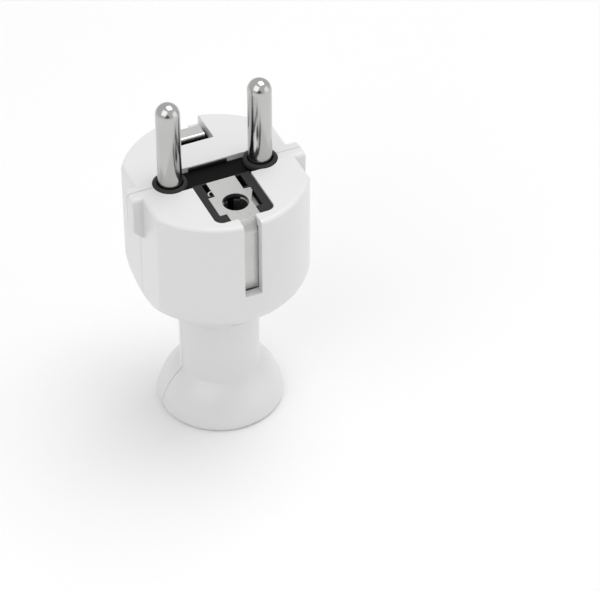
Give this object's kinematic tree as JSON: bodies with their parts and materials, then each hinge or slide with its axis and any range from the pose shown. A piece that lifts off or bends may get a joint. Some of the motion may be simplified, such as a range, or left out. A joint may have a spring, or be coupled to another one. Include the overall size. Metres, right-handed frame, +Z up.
{
  "type": "schuko plug",
  "caption": "Straight two-pin mains plug with side earth contacts and an earth socket, in a white two-part housing with a flared handle.",
  "frame": {"origin": "centre of the flared base, on the surface that the plug stands on", "axes": "+Z up along the pins, X along the line between the pins, -Y towards the half with the earth socket"},
  "size_m": [0.037, 0.037, 0.077],
  "materials": {
    "white_plastic": "satin moulded plastic, white",
    "black_plastic": "matte moulded plastic, black",
    "nickel": "nickel-plated brass, turned and polished",
    "nickel_sheet": "nickel-plated sheet, bent and slightly brushed",
    "steel": "zinc-plated steel",
    "brass": "plain brass strip",
    "grey_rubber": "soft grey rubber"
  },
  "bodies": {
    "root": {"front_shell": "white_plastic", "rear_shell": "white_plastic", "pin_carrier": "black_plastic", "left_pin": "nickel", "right_pin": "nickel", "left_terminal_screw": "steel", "right_terminal_screw": "steel", "pin_retainer": "black_plastic", "front_earth_contact": "nickel_sheet", "rear_earth_contact": "nickel_sheet", "earth_socket_spring": "nickel_sheet", "earth_bridge": "brass", "front_rivet": "brass", "rear_rivet": "brass", "earth_clamp_washer": "steel", "earth_terminal_screw": "steel", "cord_clamp": "white_plastic", "left_clamp_screw": "steel", "right_clamp_screw": "steel", "cord_grommet": "grey_rubber"}
  },
  "joints": []
}
